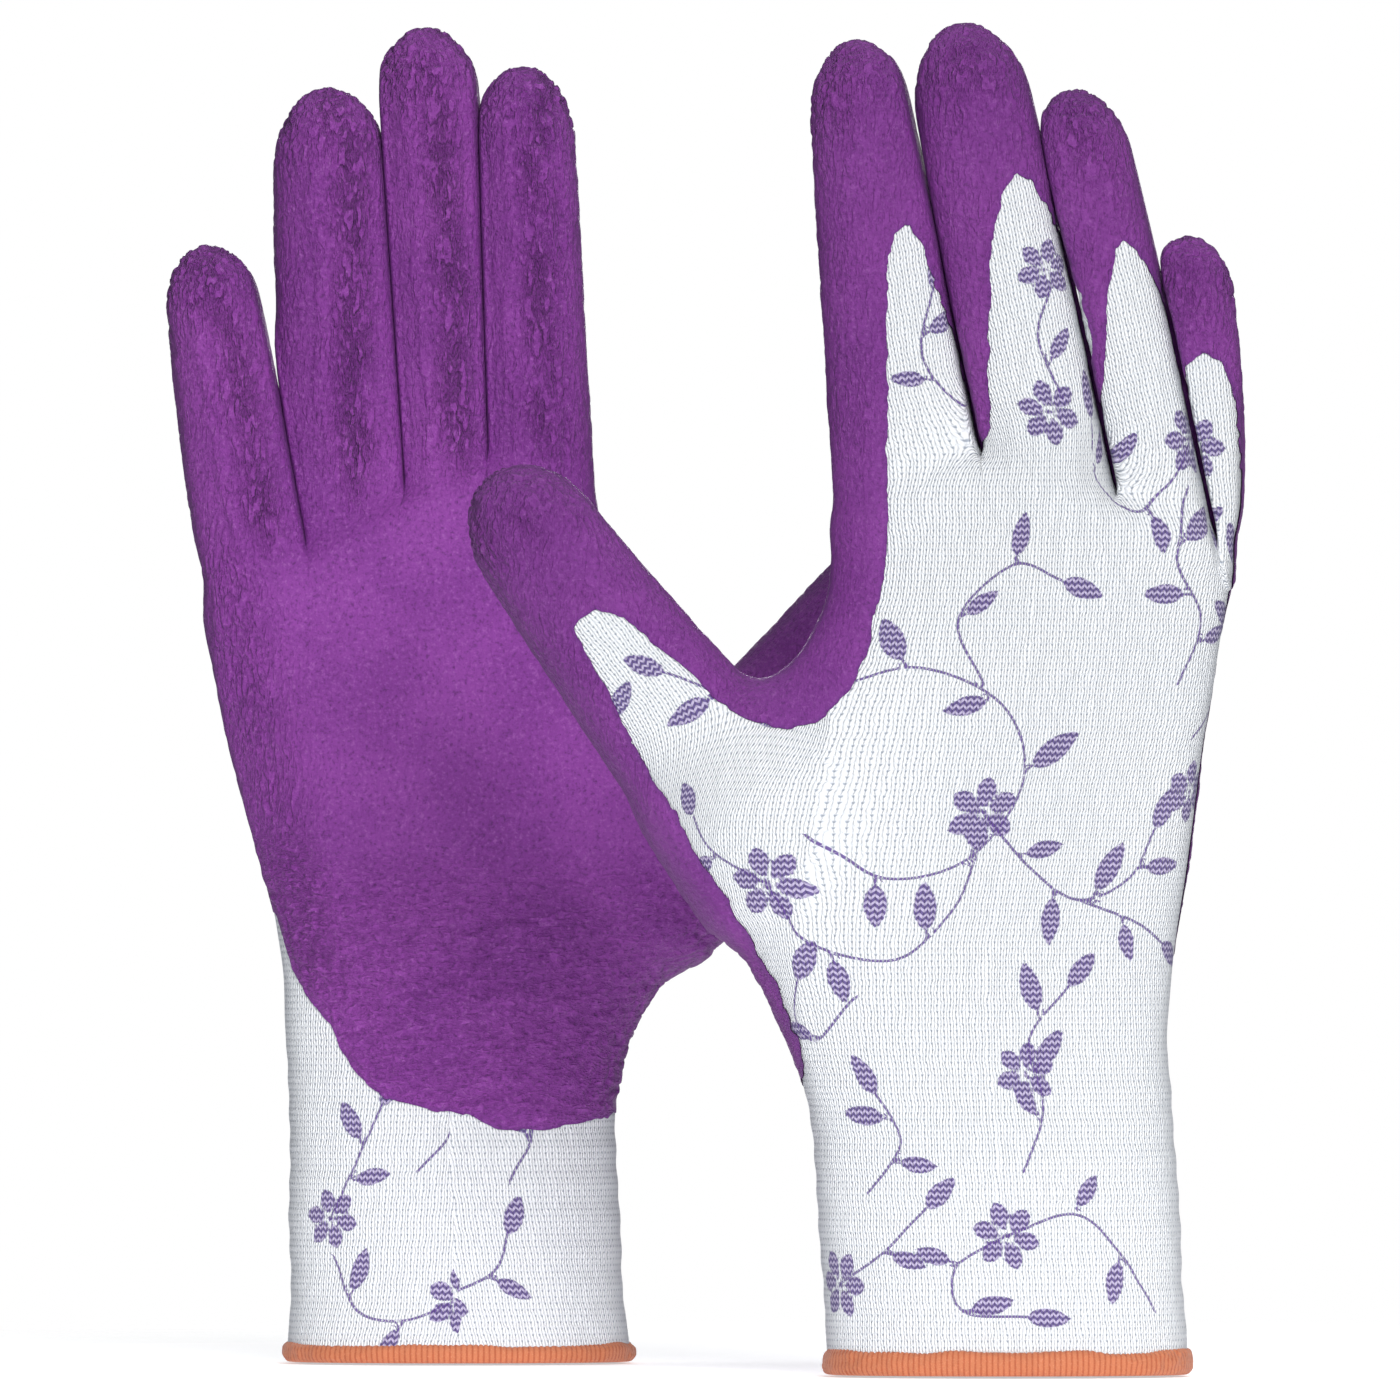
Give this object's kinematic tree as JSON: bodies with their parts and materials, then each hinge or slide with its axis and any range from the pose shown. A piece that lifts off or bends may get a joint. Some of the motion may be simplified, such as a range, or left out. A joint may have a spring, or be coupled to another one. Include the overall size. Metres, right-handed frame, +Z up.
{
  "type": "gardening gloves",
  "caption": "Knitted garden gloves with a foam-latex dipped palm, fingers and thumb, a ribbed elastic cuff and an overlocked hem; they bend at wrist, knuckles and middle joints.",
  "frame": {"origin": "on the floor under the middle of the pair's bounding box", "axes": "+Z up from the cuff hems to the fingertips, +X to the right as the pair is seen with the rear glove's palm facing the viewer, -Y towards the viewer"},
  "size_m": [0.204, 0.1646, 0.2503],
  "materials": {
    "liner_knit": "white plain knit, matt, with a violet printed vine pattern",
    "cuff_knit": "white rib knit with elastic yarn laid in",
    "foam_latex": "matt crinkled foam latex, violet",
    "hem_thread": "orange overlock thread",
    "elastic_yarn": "covered elastic yarn"
  },
  "bodies": {
    "rear_cuff": {"rear_hem_binding": "hem_thread", "rear_cuff_rib": "cuff_knit", "rear_cuff_elastic": "elastic_yarn"},
    "rear_hand": {"rear_hand_liner": "liner_knit", "rear_palm_coat": "foam_latex"},
    "rear_index_base": {"rear_index_base_liner": "liner_knit", "rear_index_base_coat": "foam_latex"},
    "rear_index_tip": {"rear_index_tip_liner": "liner_knit", "rear_index_tip_coat": "foam_latex"},
    "rear_middle_base": {"rear_middle_base_liner": "liner_knit", "rear_middle_base_coat": "foam_latex"},
    "rear_middle_tip": {"rear_middle_tip_liner": "liner_knit", "rear_middle_tip_coat": "foam_latex"},
    "rear_ring_base": {"rear_ring_base_liner": "liner_knit", "rear_ring_base_coat": "foam_latex"},
    "rear_ring_tip": {"rear_ring_tip_liner": "liner_knit", "rear_ring_tip_coat": "foam_latex"},
    "rear_little_base": {"rear_little_base_liner": "liner_knit", "rear_little_base_coat": "foam_latex"},
    "rear_little_tip": {"rear_little_tip_liner": "liner_knit", "rear_little_tip_coat": "foam_latex"},
    "rear_thumb_base": {"rear_thumb_base_liner": "liner_knit", "rear_thumb_base_coat": "foam_latex"},
    "rear_thumb_tip": {"rear_thumb_tip_liner": "liner_knit", "rear_thumb_tip_coat": "foam_latex"},
    "front_cuff": {"front_hem_binding": "hem_thread", "front_cuff_rib": "cuff_knit", "front_cuff_elastic": "elastic_yarn"},
    "front_hand": {"front_hand_liner": "liner_knit", "front_palm_coat": "foam_latex"},
    "front_index_base": {"front_index_base_liner": "liner_knit", "front_index_base_coat": "foam_latex"},
    "front_index_tip": {"front_index_tip_liner": "liner_knit", "front_index_tip_coat": "foam_latex"},
    "front_middle_base": {"front_middle_base_liner": "liner_knit", "front_middle_base_coat": "foam_latex"},
    "front_middle_tip": {"front_middle_tip_liner": "liner_knit", "front_middle_tip_coat": "foam_latex"},
    "front_ring_base": {"front_ring_base_liner": "liner_knit", "front_ring_base_coat": "foam_latex"},
    "front_ring_tip": {"front_ring_tip_liner": "liner_knit", "front_ring_tip_coat": "foam_latex"},
    "front_little_base": {"front_little_base_liner": "liner_knit", "front_little_base_coat": "foam_latex"},
    "front_little_tip": {"front_little_tip_liner": "liner_knit", "front_little_tip_coat": "foam_latex"},
    "front_thumb_base": {"front_thumb_base_liner": "liner_knit", "front_thumb_base_coat": "foam_latex"},
    "front_thumb_tip": {"front_thumb_tip_liner": "liner_knit", "front_thumb_tip_coat": "foam_latex"}
  },
  "joints": [
    {"name": "rear_wrist_bend", "type": "hinge", "parent": "rear_cuff", "child": "rear_hand", "pos_m": [-0.0466, 0.06, 0.046], "axis": [1, 0, 0], "range_deg": [-30, 30], "stiffness_Nm_per_rad": 0.4},
    {"name": "rear_index_knuckle_bend", "type": "hinge", "parent": "rear_hand", "child": "rear_index_base", "pos_m": [-0.0312, 0.05325, 0.1677], "axis": [0.9987, 0, 0.0506], "range_deg": [-10, 80], "stiffness_Nm_per_rad": 0.03},
    {"name": "rear_index_middle_bend", "type": "hinge", "parent": "rear_index_base", "child": "rear_index_tip", "pos_m": [-0.03283, 0.05357, 0.19995], "axis": [0.9987, 0, 0.0506], "range_deg": [0, 90], "stiffness_Nm_per_rad": 0.02},
    {"name": "rear_middle_knuckle_bend", "type": "hinge", "parent": "rear_hand", "child": "rear_middle_base", "pos_m": [-0.0486, 0.05375, 0.1677], "axis": [0.9986, 0, 0.0521], "range_deg": [-10, 80], "stiffness_Nm_per_rad": 0.03},
    {"name": "rear_middle_middle_bend", "type": "hinge", "parent": "rear_middle_base", "child": "rear_middle_tip", "pos_m": [-0.05049, 0.05397, 0.204], "axis": [0.9986, 0, 0.0521], "range_deg": [0, 90], "stiffness_Nm_per_rad": 0.02},
    {"name": "rear_ring_knuckle_bend", "type": "hinge", "parent": "rear_hand", "child": "rear_ring_base", "pos_m": [-0.0684, 0.05325, 0.1626], "axis": [0.9994, 0, 0.0354], "range_deg": [-10, 80], "stiffness_Nm_per_rad": 0.03},
    {"name": "rear_ring_middle_bend", "type": "hinge", "parent": "rear_ring_base", "child": "rear_ring_tip", "pos_m": [-0.06959, 0.05358, 0.19613], "axis": [0.9994, 0, 0.0354], "range_deg": [0, 90], "stiffness_Nm_per_rad": 0.02},
    {"name": "rear_little_knuckle_bend", "type": "hinge", "parent": "rear_hand", "child": "rear_little_base", "pos_m": [-0.0889, 0.05125, 0.1533], "axis": [0.9957, 0, 0.093], "range_deg": [-10, 80], "stiffness_Nm_per_rad": 0.03},
    {"name": "rear_little_middle_bend", "type": "hinge", "parent": "rear_little_base", "child": "rear_little_tip", "pos_m": [-0.09108, 0.05167, 0.17669], "axis": [0.9957, 0, 0.093], "range_deg": [0, 90], "stiffness_Nm_per_rad": 0.02},
    {"name": "rear_thumb_root_bend", "type": "hinge", "parent": "rear_hand", "child": "rear_thumb_base", "pos_m": [0.0028, 0.047, 0.1064], "axis": [0.7684, 0, -0.64], "range_deg": [-10, 50], "stiffness_Nm_per_rad": 0.03},
    {"name": "rear_thumb_middle_bend", "type": "hinge", "parent": "rear_thumb_base", "child": "rear_thumb_tip", "pos_m": [0.02275, 0.0485, 0.13035], "axis": [0.7684, 0, -0.64], "range_deg": [0, 70], "stiffness_Nm_per_rad": 0.02},
    {"name": "front_wrist_bend", "type": "hinge", "parent": "front_cuff", "child": "front_hand", "pos_m": [0.0553, -0.06, 0.046], "axis": [-1, 0, 0], "range_deg": [-30, 30], "stiffness_Nm_per_rad": 0.4},
    {"name": "front_index_knuckle_bend", "type": "hinge", "parent": "front_hand", "child": "front_index_base", "pos_m": [0.0361, -0.05325, 0.1718], "axis": [-0.9918, 0, -0.1279], "range_deg": [-10, 80], "stiffness_Nm_per_rad": 0.03},
    {"name": "front_index_middle_bend", "type": "hinge", "parent": "front_index_base", "child": "front_index_tip", "pos_m": [0.03193, -0.05357, 0.20414], "axis": [-0.9918, 0, -0.1279], "range_deg": [0, 90], "stiffness_Nm_per_rad": 0.02},
    {"name": "front_middle_knuckle_bend", "type": "hinge", "parent": "front_hand", "child": "front_middle_base", "pos_m": [0.0613, -0.05375, 0.1718], "axis": [-0.9815, 0, -0.1915], "range_deg": [-10, 80], "stiffness_Nm_per_rad": 0.03},
    {"name": "front_middle_middle_bend", "type": "hinge", "parent": "front_middle_base", "child": "front_middle_tip", "pos_m": [0.05457, -0.05397, 0.2063], "axis": [-0.9815, 0, -0.1915], "range_deg": [0, 90], "stiffness_Nm_per_rad": 0.02},
    {"name": "front_ring_knuckle_bend", "type": "hinge", "parent": "front_hand", "child": "front_ring_base", "pos_m": [0.0809, -0.05375, 0.1654], "axis": [-0.98, 0, -0.1992], "range_deg": [-10, 80], "stiffness_Nm_per_rad": 0.03},
    {"name": "front_ring_middle_bend", "type": "hinge", "parent": "front_ring_base", "child": "front_ring_tip", "pos_m": [0.07443, -0.05386, 0.19721], "axis": [-0.98, 0, -0.1992], "range_deg": [0, 90], "stiffness_Nm_per_rad": 0.02},
    {"name": "front_little_knuckle_bend", "type": "hinge", "parent": "front_hand", "child": "front_little_base", "pos_m": [0.0967, -0.052, 0.15], "axis": [-0.9918, 0, -0.1279], "range_deg": [-10, 80], "stiffness_Nm_per_rad": 0.03},
    {"name": "front_little_middle_bend", "type": "hinge", "parent": "front_little_base", "child": "front_little_tip", "pos_m": [0.09342, -0.0521, 0.17541], "axis": [-0.9918, 0, -0.1279], "range_deg": [0, 90], "stiffness_Nm_per_rad": 0.02},
    {"name": "front_thumb_root_bend", "type": "hinge", "parent": "front_hand", "child": "front_thumb_base", "pos_m": [-0.0009, -0.047, 0.114], "axis": [-0.7971, 0, -0.6039], "range_deg": [-10, 50], "stiffness_Nm_per_rad": 0.03},
    {"name": "front_thumb_middle_bend", "type": "hinge", "parent": "front_thumb_base", "child": "front_thumb_tip", "pos_m": [-0.02075, -0.0485, 0.1402], "axis": [-0.7971, 0, -0.6039], "range_deg": [0, 70], "stiffness_Nm_per_rad": 0.02},
    {"name": "gloves_apart", "type": "slide", "parent": "rear_cuff", "child": "front_cuff", "axis": [1, 0, 0], "range_m": [0, 0.1], "stiffness_N_per_m": 4}
  ]
}
